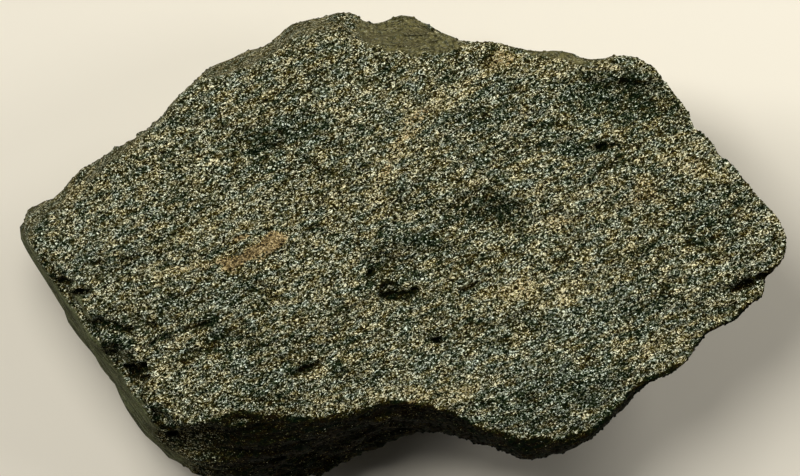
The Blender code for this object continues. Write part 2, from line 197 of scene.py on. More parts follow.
# Broad hollows of the face, as the pits, then the share of their reach that is flat
HOLLOWS = {
    "upper_right_hollow": (13.10, 8.90, 3.0, 1.7, -14.0, 0.38, 0.2),
    "middle_scoop": (5.20, 2.20, 2.0, 0.75, 0.0, 0.25, 0.2),
    "crescent_hollow": (0.70, -0.90, 0.95, 0.90, 0.0, 0.22, 0.2),
    "lower_left_hollow": (-10.90, -5.30, 1.4, 1.2, 0.0, 0.15, 0.2),
    "top_recess": (0.20, 13.30, 2.5, 1.15, 0.0, 0.7, 0.45),
    "top_right_recess": (5.20, 12.70, 3.2, 0.60, -9.0, 0.6, 0.5),
    "scoop_above_crescent": (-0.90, -1.30, 1.30, 0.90, 0.0, 0.25, 0.3),
}

# Cracks and undercut layer edges of the face: their points in millimetres, half width and depth
CRACKS = {
    "left_long_crack": (
        [(-18.24, -4.17), (-17.40, -4.50), (-16.56, -4.65), (-15.72, -4.77), (-14.82, -4.47)], 0.16, 0.70,
    ),
    "left_crack_end": ([(-12.96, -4.59), (-12.30, -4.47), (-11.58, -4.29)], 0.11, 0.45),
    "left_wedge": ([(-15.18, -6.03), (-14.64, -5.43), (-13.98, -5.19)], 0.15, 0.65),
    "upper_left_edge": ([(-18.96, -0.75), (-17.64, -0.63), (-16.44, -0.51), (-15.72, -0.33)], 0.10, 0.28),
    "left_middle_edge": ([(-14.16, -2.97), (-13.32, -2.67), (-12.36, -2.31)], 0.11, 0.32),
    "upper_crack": ([(-6.12, 5.97), (-5.64, 5.49), (-5.16, 5.13), (-4.80, 4.77)], 0.09, 0.35),
    "upper_edge": ([(-9.00, 5.97), (-8.04, 6.27), (-7.08, 6.51), (-6.12, 6.69)], 0.10, 0.28),
    "middle_crack": ([(3.48, -2.37), (3.96, -2.13), (4.50, -1.89)], 0.10, 0.45),
    "middle_crack_end": ([(4.56, -1.55), (5.28, -1.45)], 0.12, 0.40),
    "low_edge": ([(-8.40, -8.97), (-7.80, -8.79), (-7.26, -8.67)], 0.11, 0.40),
    "low_edge_end": ([(-7.44, -8.13), (-6.72, -7.95)], 0.11, 0.35),
    "lower_edge": ([(-7.68, -6.39), (-6.96, -6.27), (-6.36, -6.15)], 0.09, 0.30),
    "joint_edge": (
        [(-21.60, -0.40), (-19.62, -3.21), (-18.12, -5.19), (-16.32, -7.59), (-14.64, -9.99)], 0.10, 0.25,
    ),
    "right_edge": ([(18.10, -3.90), (19.20, -3.25), (20.60, -2.75)], 0.12, 0.35),
    "streak_edge": ([(-9.40, -0.42), (-8.40, -0.10), (-7.10, 0.45)], 0.09, 0.30),
    "streak_strand": ([(-9.70, -0.30), (-8.90, 0.16), (-8.10, 0.62)], 0.05, 0.22),
}
CRACK_REACH = 0.45
CRACK_ENDS = 0.5
CRACK_FADE = (-0.35, 0.15)
# A crack's side slopes down between these shares of its half width
CRACK_SIDE = (1.9, 0.6)

# Stain marks of the broad face, with painted shade and a painted highlight among them, in millimetres:
# x, y, half length, half width, turn in degrees, then how warm (-1 is bluish, 1 tan, 2 and more ochre)
# and how pale (-1 is dark, 1 pale)
STAINS_AND_PAINTED_SHADING = {
    "ochre_streak": (-8.75, 0.02, 1.35, 0.46, 30.0, 2.8, 0.2),
    "ochre_streak_foot": (-9.95, -0.66, 0.75, 0.36, 12.0, 2.8, 0.2),
    "ochre_streak_head": (-7.56, 0.66, 0.60, 0.36, 34.0, 2.8, 0.3),
    "ochre_strand": (-9.36, 0.87, 0.50, 0.14, 20.0, 1.8, 0.3),
    "ochre_rim": (-19.60, 3.40, 1.20, 0.35, 35.0, 0.8, 0.1),
    "ridge_top": (3.20, 9.40, 2.60, 0.50, 34.0, 0.8, 0.45),
    "ridge_middle": (-0.20, 6.20, 2.60, 0.42, 55.0, 0.8, 0.35),
    "ridge_foot": (-1.30, 3.10, 1.70, 0.40, 75.0, 0.7, 0.3),
    "upper_band": (7.60, 11.10, 3.20, 0.60, -4.0, 0.5, 0.1),
    # Tan, and paler as a painted highlight along the crest above the upper-right hollow
    "upper_right_crest_highlight": (12.60, 11.05, 2.20, 0.40, -4.0, 0.8, 0.5),
    "middle_right_band": (6.80, -2.30, 1.80, 0.50, 8.0, 0.9, 0.5),
    "right_band": (10.10, -2.70, 1.80, 0.40, 10.0, 0.8, 0.4),
    "right_spot": (14.30, 3.40, 0.90, 0.80, 0.0, 1.0, 0.2),
    "middle_spot": (9.20, 1.75, 1.20, 0.40, 0.0, 0.9, 0.3),
    "left_band": (-13.30, -1.10, 1.60, 0.35, 8.0, 0.9, 0.3),
    "left_lip": (-13.00, -5.20, 1.20, 0.28, 20.0, 0.9, 0.7),
    "pit_lip": (-5.50, -7.50, 0.80, 0.26, 20.0, 0.8, 0.5),
    "lower_right_band": (15.50, -5.60, 1.90, 0.60, 15.0, 0.8, 0.35),
    "low_band": (3.00, -8.70, 3.00, 0.70, 20.0, 0.8, 0.4),
    "low_middle_band": (-1.20, -8.60, 2.80, 0.50, 10.0, 0.7, 0.35),
    "far_right_band": (17.30, 5.10, 2.20, 0.60, -30.0, 0.8, 0.2),
    # Painted shade in the upper-right hollow
    "upper_right_hollow_shade": (13.10, 9.00, 3.00, 1.50, -14.0, -0.5, -0.8),
    "pit_dark": (10.60, 6.10, 1.50, 0.50, 0.0, -0.8, -0.5),
    # Painted shade in the middle scoop
    "middle_scoop_shade": (5.20, 2.20, 2.40, 0.80, 0.0, -0.3, -0.8),
    "crescent_dark": (1.60, 0.40, 1.00, 0.50, -20.0, -0.8, -0.6),
    # Painted shade in the scoop above the crescent
    "above_crescent_shade": (-0.90, -1.40, 1.60, 1.00, 0.0, -0.4, -0.6),
    "right_dark": (17.90, 1.60, 1.20, 1.00, 0.0, -0.6, -0.6),
    "upper_left_dark": (-7.50, 6.90, 3.00, 0.80, 15.0, -0.6, -0.5),
    "upper_middle_dark": (4.70, 8.20, 1.20, 0.60, 0.0, -0.4, -0.6),
    # Painted shade in the lower-left hollow
    "lower_left_hollow_shade": (-10.90, -5.30, 1.60, 1.20, 0.0, -0.3, -0.5),
    "low_right_blue": (8.50, -8.60, 5.00, 1.70, 15.0, -0.8, -0.15),
    "right_blue": (12.60, -3.60, 3.00, 0.90, 15.0, -0.8, 0.0),
    "lower_left_dark": (-17.80, -4.80, 1.50, 1.20, -50.0, -0.6, -0.5),
    "lower_middle_dark": (-7.60, -8.20, 1.60, 0.70, 15.0, -0.6, -0.5),
}

# Single pale crystals of the face: x, y and half size
CRYSTALS = {
    "middle_crystal": (8.34, 1.68, 0.15),
    "right_crystal": (10.80, -4.62, 0.12),
    "low_crystal": (9.72, -3.66, 0.10),
    "left_crystal": (-8.40, 1.70, 0.10),
    "lower_left_crystal": (-10.56, -3.48, 0.12),
}
CRYSTAL_PALE = 2.5
CRYSTAL_EDGE = (1.3, 0.7)

# Local pushes of the rim, in millimetres: x, y, reach, shift in x, shift in y
PUSHES = {
    "first_bump": (-5.20, 13.90, 2.20, 0.05, -0.42),
    "second_bump": (0.10, 13.60, 1.60, 0.0, 0.22),
    "second_bump_right": (2.10, 13.10, 1.60, 0.10, 0.34),
    "top_right_band": (5.80, 12.60, 3.20, 0.10, 0.56),
    "upper_dip": (11.30, 11.80, 1.90, 0.0, -0.38),
    "upper_right_corner": (15.80, 10.20, 2.40, -0.08, -0.02),
    "right_shoulder": (17.00, 7.90, 1.70, 0.24, 0.16),
    "right_rim": (18.80, 5.90, 2.80, 0.26, 0.20),
    "far_right_rim": (21.00, 3.30, 2.40, 0.15, 0.12),
    "right_tip": (21.70, -3.00, 1.50, 0.25, -0.05),
    "right_notch_foot": (19.70, -4.00, 1.90, 0.10, -0.45),
    "upper_left_band": (-12.60, 10.20, 3.20, -0.26, 0.30),
    "upper_left_bend": (-7.90, 12.70, 2.40, 0.14, -0.24),
    "left_band": (-18.20, 6.00, 2.80, -0.12, 0.20),
    "lower_right_rim": (16.60, -7.00, 2.50, 0.08, -0.10),
    "bottom": (10.20, -11.60, 2.60, 0.0, 0.15),
    "lower_left_corner": (-13.80, -10.20, 2.20, 0.10, -0.40),
}

# Smooth, worn parts of the face near the upper edge: x, y, half length, half width, turn
WORN_PARTS = {
    "top_recess": (0.60, 13.10, 3.4, 1.25, -4.0),
    "top_right_recess": (6.80, 12.35, 4.6, 0.55, -8.5),
}

# Edges of the ovals: the share of an oval inside its ragged edge, how ragged the edge is, the waves of
# it in a millimetre, and how far they are drawn out along the oval
PIT_EDGE = (0.75, 0.55, 2.6, 1.0)
HOLLOW_RAGGED = (0.3, 0.9, 1.0)
STAIN_AND_SHADING_EDGE = (0.35, 0.8, 2.2, 2.5)
WORN_EDGE = (0.8, 0.25, 1.5, 1.0)
OVAL_REACH = 1.6


def smooth_step(low, high, value):
    """0 up to the first limit and 1 from the second on, eased between them; they may also fall."""
    share = min(max((value - low) / (high - low), 0.0), 1.0)
    return share * share * (3.0 - 2.0 * share)


def waves(name, point):
    """One of the relief's smooth noises at this point."""
    strength, scale, shift = NOISES[name]
    return strength * noise.noise(point * scale + Vector(shift))


def in_layers(point):
    """The point measured along the strike of the layers, down their dip, and across them."""
    strike_cos, strike_sin = math.cos(LAYER_STRIKE), math.sin(LAYER_STRIKE)
    dip_cos, dip_sin = math.cos(LAYER_DIP), math.sin(LAYER_DIP)
    along = point.x * strike_cos + point.y * strike_sin
    aside = point.y * strike_cos - point.x * strike_sin
    return Vector((
        ALONG_LAYERS * along,
        aside * dip_cos - point.z * dip_sin,
        aside * dip_sin + point.z * dip_cos,
    ))


def layer_ledge(place):
    """Height of the broken layer edges, and from 0 to 1 how near the foot of an edge is."""
    along = place.z / LAYER_SPACING + (waves("layer_wander", place) + waves("layer_ripple", place))
    share = along - math.floor(along)
    climb = smooth_step(LAYER_CLIMB, 1.0, share)
    strength = smooth_step(*LEDGE_FADE, waves("ledge_strength", place))
    foot = strength * smooth_step(*LEDGE_FOOT, abs(share - 0.5 * LAYER_CLIMB - 0.5))
    return LAYER_STEP * strength * (share - climb - 0.5 * LAYER_CLIMB), foot


def dished_facets(place, size, lean, dish):
    """The lowest of the leaning dishes round the nearest random spots, so they meet in ridges."""
    here = place / size + Vector((size, 2.0 * size, FACET_LEVEL))
    _, spots = noise.voronoi(here)
    heights = []
    for spot in spots:
        away = here - spot
        tilt = noise.cell_vector(spot * FACET_KEY) - Vector((0.5, 0.5, 0.5))
        heights.append(2.0 * lean * tilt.dot(away) + dish * (away.length_squared - DISH_MEAN))
    return size * min(heights)


def grain_dome(point, size):
    """Rounded grains that stand out of the surface: one on top of a grain, none between grains."""
    distances, _ = noise.voronoi(point / size)
    return 1.0 - min(1.0, distances[0] / DOME_REACH) ** 2


def in_form(x, y, middle_x, middle_y, turn):
    """The point measured along and across a form that is turned by so many degrees."""
    turn_cos, turn_sin = math.cos(math.radians(turn)), math.sin(math.radians(turn))
    dx, dy = x - middle_x, y - middle_y
    return dx * turn_cos + dy * turn_sin, dy * turn_cos - dx * turn_sin


def oval_share(point, form, edge, ragged, fineness, drawn_out):
    """1 inside an oval form of the face, 0 outside it, with a ragged edge between."""
    middle_x, middle_y, half_length, half_width, turn = form[:5]
    reach = OVAL_REACH * half_length
    if abs(point.x - middle_x) > reach or abs(point.y - middle_y) > reach:
        return 0.0
    along, across = in_form(point.x, point.y, middle_x, middle_y, turn)
    far = math.hypot(along / half_length, across / half_width)
    far *= 1.0 + ragged * noise.noise(fineness * Vector((along / drawn_out, across, 0.5 * middle_x)))
    return smooth_step(2.0 - edge, edge, far)


def pit_depth(point):
    """How deep the pits of the broad face are here."""
    depth = 0.0
    for form in PITS.values():
        if abs(point.x - form[0]) < PIT_NEAR and abs(point.y - form[1]) < PIT_NEAR:
            depth = max(depth, form[5] * oval_share(point, form, *PIT_EDGE))
    return depth


def hollow_depth(point):
    """How deep the broad hollows of the face are here."""
    depth = 0.0
    for *form, deep, flat in HOLLOWS.values():
        depth += deep * oval_share(point, form, flat, *HOLLOW_RAGGED)
    return depth


def crack_depth(point):
    """How deep the cracks of the face are here: ragged grooves along their lines."""
    depth = 0.0
    for line, half_width, deep in CRACKS.values():
        for (x0, y0), (x1, y1) in zip(line, line[1:]):
            dx, dy = x1 - x0, y1 - y0
            long = math.hypot(dx, dy)
            share = ((point.x - x0) * dx + (point.y - y0) * dy) / (long * long)
            if share < -CRACK_ENDS or share > 1.0 + CRACK_ENDS:
                continue
            share = min(max(share, 0.0), 1.0)
            away = math.hypot(point.x - x0 - share * dx, point.y - y0 - share * dy)
            if away > CRACK_REACH + half_width:
                continue
            wander = waves("crack_wander", point) + waves("crack_ripple", point)
            strength = smooth_step(*CRACK_FADE, waves("crack_strength", point))
            top, bottom = (share_of_half * half_width for share_of_half in CRACK_SIDE)
            depth = max(depth, deep * strength * smooth_step(top, bottom, abs(away + wander)))
    return depth


def rim_push(point):
    """Shift of the point by the local pushes of the rim."""
    shift = Vector((0.0, 0.0, 0.0))
    for x, y, reach, shift_x, shift_y in PUSHES.values():
        away = math.hypot(point.x - x, point.y - y)
        if away < reach:
            shift += smooth_step(reach, 0.0, away) * Vector((shift_x, shift_y, 0.0))
    return shift


def stains_and_painted_shading(point):
    """How warm and how pale the face is here: its stain marks, crystals, painted shade and highlight."""
    warm = pale = 0.0
    for *form, warmth, paleness in STAINS_AND_PAINTED_SHADING.values():
        share = oval_share(point, form, *STAIN_AND_SHADING_EDGE)
        warm += share * warmth
        pale += share * paleness
    for x, y, size in CRYSTALS.values():
        outside, inside = (share * size for share in CRYSTAL_EDGE)
        pale += CRYSTAL_PALE * smooth_step(outside, inside, math.hypot(point.x - x, point.y - y))
    return warm, pale


@contextmanager
def edited(piece):
    """The piece's mesh as a bmesh, which is put back when the block ends."""
    mesh = bmesh.new()
    mesh.from_mesh(piece.data)
    yield mesh
    mesh.to_mesh(piece.data)
    mesh.free()
    piece.data.update()


def merged_copy(node, name):
    """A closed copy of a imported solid's mesh, in millimetres, with its loose triangles joined."""
    mesh = bmesh.new()
    mesh.from_mesh(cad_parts[node].data)
    bmesh.ops.remove_doubles(mesh, verts=mesh.verts, dist=WELD)
    bmesh.ops.scale(mesh, verts=mesh.verts, vec=(1.0 / MM, 1.0 / MM, 1.0 / MM))
    data = bpy.data.meshes.new(name)
    mesh.to_mesh(data)
    mesh.free()
    piece = bpy.data.objects.new(name, data)
    bpy.context.scene.collection.objects.link(piece)
    return piece


def apply_modifiers(piece):
    """Puts the result of the piece's modifiers in its mesh."""
    bpy.context.view_layer.update()
    graph = bpy.context.evaluated_depsgraph_get()
    made = bpy.data.meshes.new_from_object(piece.evaluated_get(graph))
    old = piece.data
    piece.modifiers.clear()
    piece.data = made
    bpy.data.meshes.remove(old)


def refine(piece, spacing):
    """Rounds the solid's flat triangles and remakes the surface as small even faces."""
    rounding = piece.modifiers.new("Rounding", "SUBSURF")
    rounding.levels = rounding.render_levels = 1
    even = piece.modifiers.new("Even faces", "REMESH")
    even.mode = "VOXEL"
    even.voxel_size = spacing
    apply_modifiers(piece)
    with edited(piece) as mesh:
        for _ in range(SMOOTH_PASSES):
            bmesh.ops.smooth_vert(
                mesh, verts=mesh.verts, factor=0.5, use_axis_x=True, use_axis_y=True, use_axis_z=True,
            )
        mesh.normal_update()
        upward = {edge for face in mesh.faces if face.normal.z > FACE_LEAN for edge in face.edges}
        bmesh.ops.subdivide_edges(mesh, edges=list(upward), cuts=1, use_grid_fill=True)
        mesh.normal_update()


def fewer_faces(piece, most):
    """Joins small faces, mostly away from the broad face, until no more than so many are left."""
    triangles = sum(len(polygon.vertices) - 2 for polygon in piece.data.polygons)
    if triangles <= most:
        return
    group = piece.vertex_groups.new(name="walls")
    for vert in piece.data.vertices:
        group.add([vert.index], 1.0 - FACE_KEPT * smooth_step(*FACE_FADE, vert.normal.z), "REPLACE")
    fewer = piece.modifiers.new("Fewer faces", "DECIMATE")
    fewer.ratio = most / triangles
    fewer.vertex_group = group.name
    fewer.vertex_group_factor = 1.0
    apply_modifiers(piece)
    piece.vertex_groups.clear()


def relief_kept(point, on_face, on_joint):
    """The share of the full relief that is left here, from 0 to 1."""
    on_rim = smooth_step(*RIM_LEVEL, point.z) * (1.0 - on_face)
    even_edge = smooth_step(*EVEN_EDGE_START, point.x) * smooth_step(*EVEN_EDGE_ABOVE, point.y)
    even_edge *= 1.0 - on_face
    kept = 1.0
    for part, here in (("joint", on_joint), ("rim", on_rim), ("face", on_face), ("even_edge", even_edge)):
        kept *= 1.0 - CALM[part] * here
    return kept


def face_marks(point, normal, foot, skin):
    """How deep the broad face is sunk here, how warm and how pale it is, and how much skin is left."""
    from_above = smooth_step(*MARKS_FADE, normal.z)
    pit, crack = pit_depth(point), crack_depth(point)
    sunk = from_above * (max(pit, crack) + hollow_depth(point))
    warm, pale = stains_and_painted_shading(point)
    # Painted shade: pits, cracks and the feet of ledges are painted darker
    pale -= PIT_SHADE * min(1.0, pit / PIT_DARK) + CRACK_SHADE * min(1.0, crack / CRACK_DARK)
    pale -= LEDGE_SHADE * foot
    for form in WORN_PARTS.values():
        skin = max(skin, oval_share(point, form, *WORN_EDGE))
    skin *= smooth_step(*SKIN_IN_PITS, max(pit, crack))
    return sunk, warm * from_above, pale * from_above, skin


def surface_at(point, normal, grain):
    """Shift of the surface here, and its painted values: warm, pale, skin and joint, pale with painted
    shade.
    """
    on_face = smooth_step(*FACE_FADE, normal.z)
    on_joint = smooth_step(*JOINT_FADE, normal.dot(JOINT_NORMAL)) * smooth_step(*JOINT_END, point.x)
    on_joint *= smooth_step(*JOINT_DEPTH, point.dot(JOINT_NORMAL))
    skin = smooth_step(*SKIN_FADE, normal.dot(SKIN_NORMAL) + waves("skin_edge", point))
    skin = max(SKIN_ON_WALLS * skin * (1.0 - on_face), on_joint)

    place = in_layers(point)
    out, foot = layer_ledge(place)
    for size, lean, dish in FACETS:
        out += dished_facets(place, size, lean, dish)
    out += waves("lumps", point)
    out = out * relief_kept(point, on_face, on_joint) + WALL_LIFT * (1.0 - on_face)

    sunk = warm = pale = 0.0
    if normal.z > MARKS_FADE[0] and point.z > MARKS_LEVEL:
        sunk, warm, pale, skin = face_marks(point, normal, foot, skin)
    # Painted shade: the lower wall is darkened where it faces down, away from the lamps
    lower_wall_shade = smooth_step(*LOWER_WALL_SHADE_FADE, normal.dot(LOWER_WALL_SHADE_NORMAL) + waves("lower_wall_shade_edge", point))
    pale -= LOWER_WALL_PAINTED_SHADE * lower_wall_shade * (LOWER_WALL_SHADE_LEFT + (1.0 - LOWER_WALL_SHADE_LEFT) * smooth_step(*LOWER_WALL_SHADE_START, point.x))

    fine = waves("crumbs", place) + grain_dome(point, DOME_SIZE * grain) - FINE_MEAN
    out += FINE_HEIGHT * (1.0 - FINE_UNDER_SKIN * skin) * fine
    return normal * out + rim_push(point) - Vector((0.0, 0.0, sunk)), (warm, pale, skin, on_joint)


def sculpt(piece, settings):
    """Gives the surface its facets, fine ledges, marks and painted values."""
    with edited(piece) as mesh:
        layers = [mesh.verts.layers.float.new(name) for name in ("warm", "pale", "skin", "joint")]
        moves = []
        for vert in mesh.verts:
            move, painted = surface_at(vert.co.copy(), vert.normal, settings.grain_size / MM)
            moves.append(move)
            for layer, value in zip(layers, painted):
                vert[layer] = value
        for vert, move in zip(mesh.verts, moves):
            vert.co += move


def into_metres(piece):
    """Brings the sculpted mesh back to metres."""
    with edited(piece) as mesh:
        bmesh.ops.scale(mesh, verts=mesh.verts, vec=(MM, MM, MM))


def keep_inside(piece, low, high):
    """Keeps the mesh's tips inside the solid's box."""
    with edited(piece) as mesh:
        for vert in mesh.verts:
            vert.co = Vector(min(max(c, a), b) for c, a, b in zip(vert.co, low, high))


def add_node(tree, kind, inputs=None, **settings):
    """A new shader node, its settings made and its inputs linked or set."""
    node = tree.nodes.new(kind)
    for name, value in settings.items():
        setattr(node, name, value)
    for name, value in (inputs or {}).items():
        if isinstance(value, bpy.types.NodeSocket):
            tree.links.new(value, node.inputs[name])
        else:
            node.inputs[name].default_value = value
    return node


def maths(tree, operation, first, second=0.0, third=0.0, clamp=False):
    """The result of one operation on up to three values."""
    inputs = {0: first, 1: second, 2: third}
    return add_node(tree, "ShaderNodeMath", inputs, operation=operation, use_clamp=clamp).outputs[0]


def vector_maths(tree, operation, *inputs):
    """The result of one operation on vectors."""
    return add_node(tree, "ShaderNodeVectorMath", dict(enumerate(inputs)), operation=operation).outputs[0]


def mixed(tree, factor, first, second):
    """A colour between the first and the second."""
    node = add_node(tree, "ShaderNodeMix", {0: factor, 6: first, 7: second}, data_type="RGBA")
    return node.outputs[2]


def ramp(tree, value, low, high, to_low=0.0, to_high=1.0):
    """The value, eased from one range to another and kept inside it."""
    inputs = {"Value": value, "From Min": low, "From Max": high, "To Min": to_low, "To Max": to_high}
    return add_node(tree, "ShaderNodeMapRange", inputs, interpolation_type="SMOOTHSTEP").outputs["Result"]


def soft_noise(tree, place, scale, detail):
    """A smooth noise with so many waves in a millimetre: its value and its colour."""
    inputs = {"Vector": place, "Scale": scale, "Detail": detail}
    return add_node(tree, "ShaderNodeTexNoise", inputs).outputs


def drawn_out(tree, place, turn, stretch):
    """The place on a pattern that is turned and drawn out by so much along each axis."""
    inputs = {"Vector": place, "Rotation": (0.0, 0.0, turn), "Scale": stretch}
    return add_node(tree, "ShaderNodeMapping", inputs, vector_type="TEXTURE").outputs[0]


# How much each pattern moves the stone's level, from 0, the darkest, to 1, the palest: the cement
# between the grains, each single grain, the crystals of the cement, their fine dust, the patches, and
# the pale marks, which also carry the painted shade and the painted highlight
LEVEL = {
    "middle": 0.415, "cement": 0.22, "grain": 0.12, "crystal": 0.84, "dust": 0.84, "patch": 0.10,
    "pale": 0.19,
}
# Sizes of a crystal and of a grain of dust, and the widths of the cement and of a grain's rounded
# edge, as shares of a grain
CRYSTAL_SHARE = 0.26
DUST_SHARE = 0.15
CEMENT_WIDTH = 0.26
DOME_WIDTH = 0.35
# The patterns are drawn out along the layers, and those of the grains are bent by a noise: how far,
# and the noise's waves and detail
PATCH_STRETCH = (2.2, 0.9, 1.0)
GRAIN_STRETCH = (1.30, 0.92, 1.0)
WANDER = 0.29
WANDER_NOISE = (3.2, 1.0)
# Warm and cool patches: the waves and detail of each noise, its strength, and their common start
SMALL_PATCHES, SMALL_STRENGTH = (2.3, 2.0), 3.0
LARGE_PATCHES, LARGE_STRENGTH = (0.3, 1.0), 0.5
PATCH_START = -1.25
WARM_STRENGTH = 0.50
# Shifts of the palette's display values for the two kinds of patch, and the least value left
COOL_SHIFT = (-0.036, 0.003, 0.000)
WARM_SHIFT = (0.038, 0.002, -0.104)
LEAST_SHOWN = 0.003
# Levels of the palette's colours, and the darkest of them
PALETTE_LEVELS = (0.05, 0.36, 0.57, 0.79, 1.0)
DARKEST = (0.0032, 0.0035, 0.0004)
# Ochre shows from the first to the second warmth, ragged by the crystals, and hides at most this
# share of the rock; its tones follow the level between two shares of its colour
OCHRE_FADE = (1.30, 1.90)
OCHRE_RAGGED = 1.8
OCHRE_COVER = 0.72
OCHRE_TONES = (0.10, 1.9)
OCHRE_LEVELS = (0.10, 0.90)
# The skin's clouds and the joint's streaks: the two shares of their colour, the noise's values
# between which they go from one to the other, and the noises' waves and detail
SKIN_TONES = (0.42, 1.6)
SKIN_LEVELS = (0.36, 0.64)
SKIN_CLOUDS = (4.5, 3.0)
JOINT_TURN = math.radians(-52.7)
JOINT_STRETCH = (6.0, 0.45, 1.0)
JOINT_STREAKS = (3.0, 2.0)
# The painted values between which the skin comes to show
SKIN_SHOWS = (0.15, 0.85)
# The finish of every part of the rock
CRYSTAL_RELIEF = 0.45
BUMP_STRENGTH = 0.8
BUMP_HEIGHT = 0.06 * MM
ROUGHNESS = 0.85
SPECULAR = 0.05


def new_group(name, inputs, outputs):
    """A shader node group with its sockets; returns it and its inputs inside the group."""
    tree = bpy.data.node_groups.new(name, "ShaderNodeTree")
    for sockets, way in ((inputs, "INPUT"), (outputs, "OUTPUT")):
        for socket, kind in sockets.items():
            tree.interface.new_socket(socket, in_out=way, socket_type="NodeSocket" + kind)
    return tree, tree.nodes.new("NodeGroupInput").outputs


def put_out(tree, **values):
    """Links the group's outputs; a name's underscore stands for a space."""
    out = tree.nodes.new("NodeGroupOutput")
    for name, value in values.items():
        tree.links.new(value, out.inputs[name.replace("_", " ")])


def moved_level(tree, level, *moves):
    """The level, moved up or down by values between 0 and 1, each with its share."""
    for value, share in moves:
        level = maths(tree, "MULTIPLY_ADD", maths(tree, "SUBTRACT", value, 0.5), share, level)
    return level


def crystal_dust():
    """The fine crystals in and between the grains, and the still finer dust: a chance for each."""
    tree, given = new_group(
        "crystal dust", {"Place": "Vector", "Grain Size": "Float"},
        {"Crystal": "Float", "Dust": "Float", "Relief": "Float"},
    )
    chances = []
    for share in (CRYSTAL_SHARE, DUST_SHARE):
        scale = maths(tree, "DIVIDE", 1.0 / share, given["Grain Size"])
        cells = add_node(tree, "ShaderNodeTexVoronoi", {"Vector": given["Place"], "Scale": scale})
        chances.append(add_node(tree, "ShaderNodeSeparateColor", {0: cells.outputs["Color"]}).outputs)
    put_out(tree, Crystal=chances[0][0], Dust=chances[1][0], Relief=chances[0][1])
    return tree


def peloid_fabric():
    """Rounded grains, each with its own level, and the paler cement between them."""
    tree, given = new_group(
        "peloid fabric", {"Place": "Vector", "Grain Size": "Float"},
        {"Grain": "Float", "Cement": "Float", "Dome": "Float"},
    )
    inputs = {"Vector": given["Place"], "Scale": maths(tree, "DIVIDE", 1.0, given["Grain Size"])}
    grains = add_node(tree, "ShaderNodeTexVoronoi", inputs)
    edges = add_node(tree, "ShaderNodeTexVoronoi", inputs, feature="DISTANCE_TO_EDGE")
    single = add_node(tree, "ShaderNodeSeparateColor", {0: grains.outputs["Color"]}).outputs[0]
    edge = edges.outputs["Distance"]
    cement = ramp(tree, edge, 0.0, CEMENT_WIDTH, 1.0, 0.0)
    put_out(tree, Grain=single, Cement=cement, Dome=ramp(tree, edge, 0.0, DOME_WIDTH))
    return tree


def shifted(colour, shift):
    """The colour after a shift of its display values."""
    shown = Color(colour[:3]).from_scene_linear_to_srgb()
    moved = Color([min(1.0, max(LEAST_SHOWN, value + more)) for value, more in zip(shown, shift)])
    return (*moved.from_srgb_to_scene_linear(), 1.0)


def palette_ramp(tree, level, palette, shift):
    """The level as a colour of the palette, which is a list of stops: place and colour."""
    colours = add_node(tree, "ShaderNodeValToRGB", {0: level})
    stops = colours.color_ramp.elements
    while len(stops) < len(palette):
        stops.new(0.5)
    for stop, (at, colour) in zip(stops, palette):
        stop.position = at
        stop.color = shifted(colour, shift)
    return colours.outputs[0]


def toned(tree, pattern, limits, colour, shares):
    """The colour between two shares of it, as the pattern goes from one limit to the other."""
    dim, clear = ((*(share * part for part in colour), 1.0) for share in shares)
    return mixed(tree, ramp(tree, pattern, *limits), dim, clear)


def mineral_colours(settings):
    """The colour of the rock at a level from dark to pale, between a cool and a warm palette, and of
    its ochre, its worn skin and its joint."""
    sockets = {name: "Float" for name in ("Level", "Warmth", "Ochre", "Skin", "Joint")}
    tree, given = new_group("mineral colours", {**sockets, "Place": "Vector"}, {"Colour": "Color"})
    level, place = given["Level"], given["Place"]
    colours = (
        DARKEST, settings.grain_colour, settings.grey_colour, settings.cement_colour, settings.speck_colour,
    )
    palette = list(zip(PALETTE_LEVELS, colours))
    cool, warm = (palette_ramp(tree, level, palette, shift) for shift in (COOL_SHIFT, WARM_SHIFT))
    colour = mixed(tree, given["Warmth"], cool, warm)
    ochre = toned(tree, level, OCHRE_LEVELS, settings.ochre_colour, OCHRE_TONES)
    colour = mixed(tree, maths(tree, "MULTIPLY", given["Ochre"], OCHRE_COVER), colour, ochre)
    cloud = soft_noise(tree, place, *SKIN_CLOUDS)[0]
    streaks = soft_noise(tree, drawn_out(tree, place, JOINT_TURN, JOINT_STRETCH), *JOINT_STREAKS)[0]
    skin_colour = mixed(
        tree, given["Joint"],
        toned(tree, cloud, SKIN_LEVELS, settings.skin_colour, SKIN_TONES),
        toned(tree, streaks, SKIN_LEVELS, settings.joint_colour, SKIN_TONES),
    )
    put_out(tree, Colour=mixed(tree, given["Skin"], colour, skin_colour))
    return tree


def read_layer(tree, name):
    """A value painted on the mesh's vertices."""
    return add_node(tree, "ShaderNodeAttribute", attribute_name=name).outputs["Fac"]


def use_group(tree, group, **inputs):
    """A node of the group, its inputs linked or set; a name's underscore stands for a space."""
    spaced = {name.replace("_", " "): value for name, value in inputs.items()}
    return add_node(tree, "ShaderNodeGroup", spaced, node_tree=group).outputs


def rock_groups(settings):
    """The node groups that the surface and the grains share, made once."""
    makers = {"crystal dust": crystal_dust, "peloid fabric": peloid_fabric}
    groups = {name: bpy.data.node_groups.get(name) or make() for name, make in makers.items()}
    groups["mineral colours"] = bpy.data.node_groups.get("mineral colours") or mineral_colours(settings)
    return groups


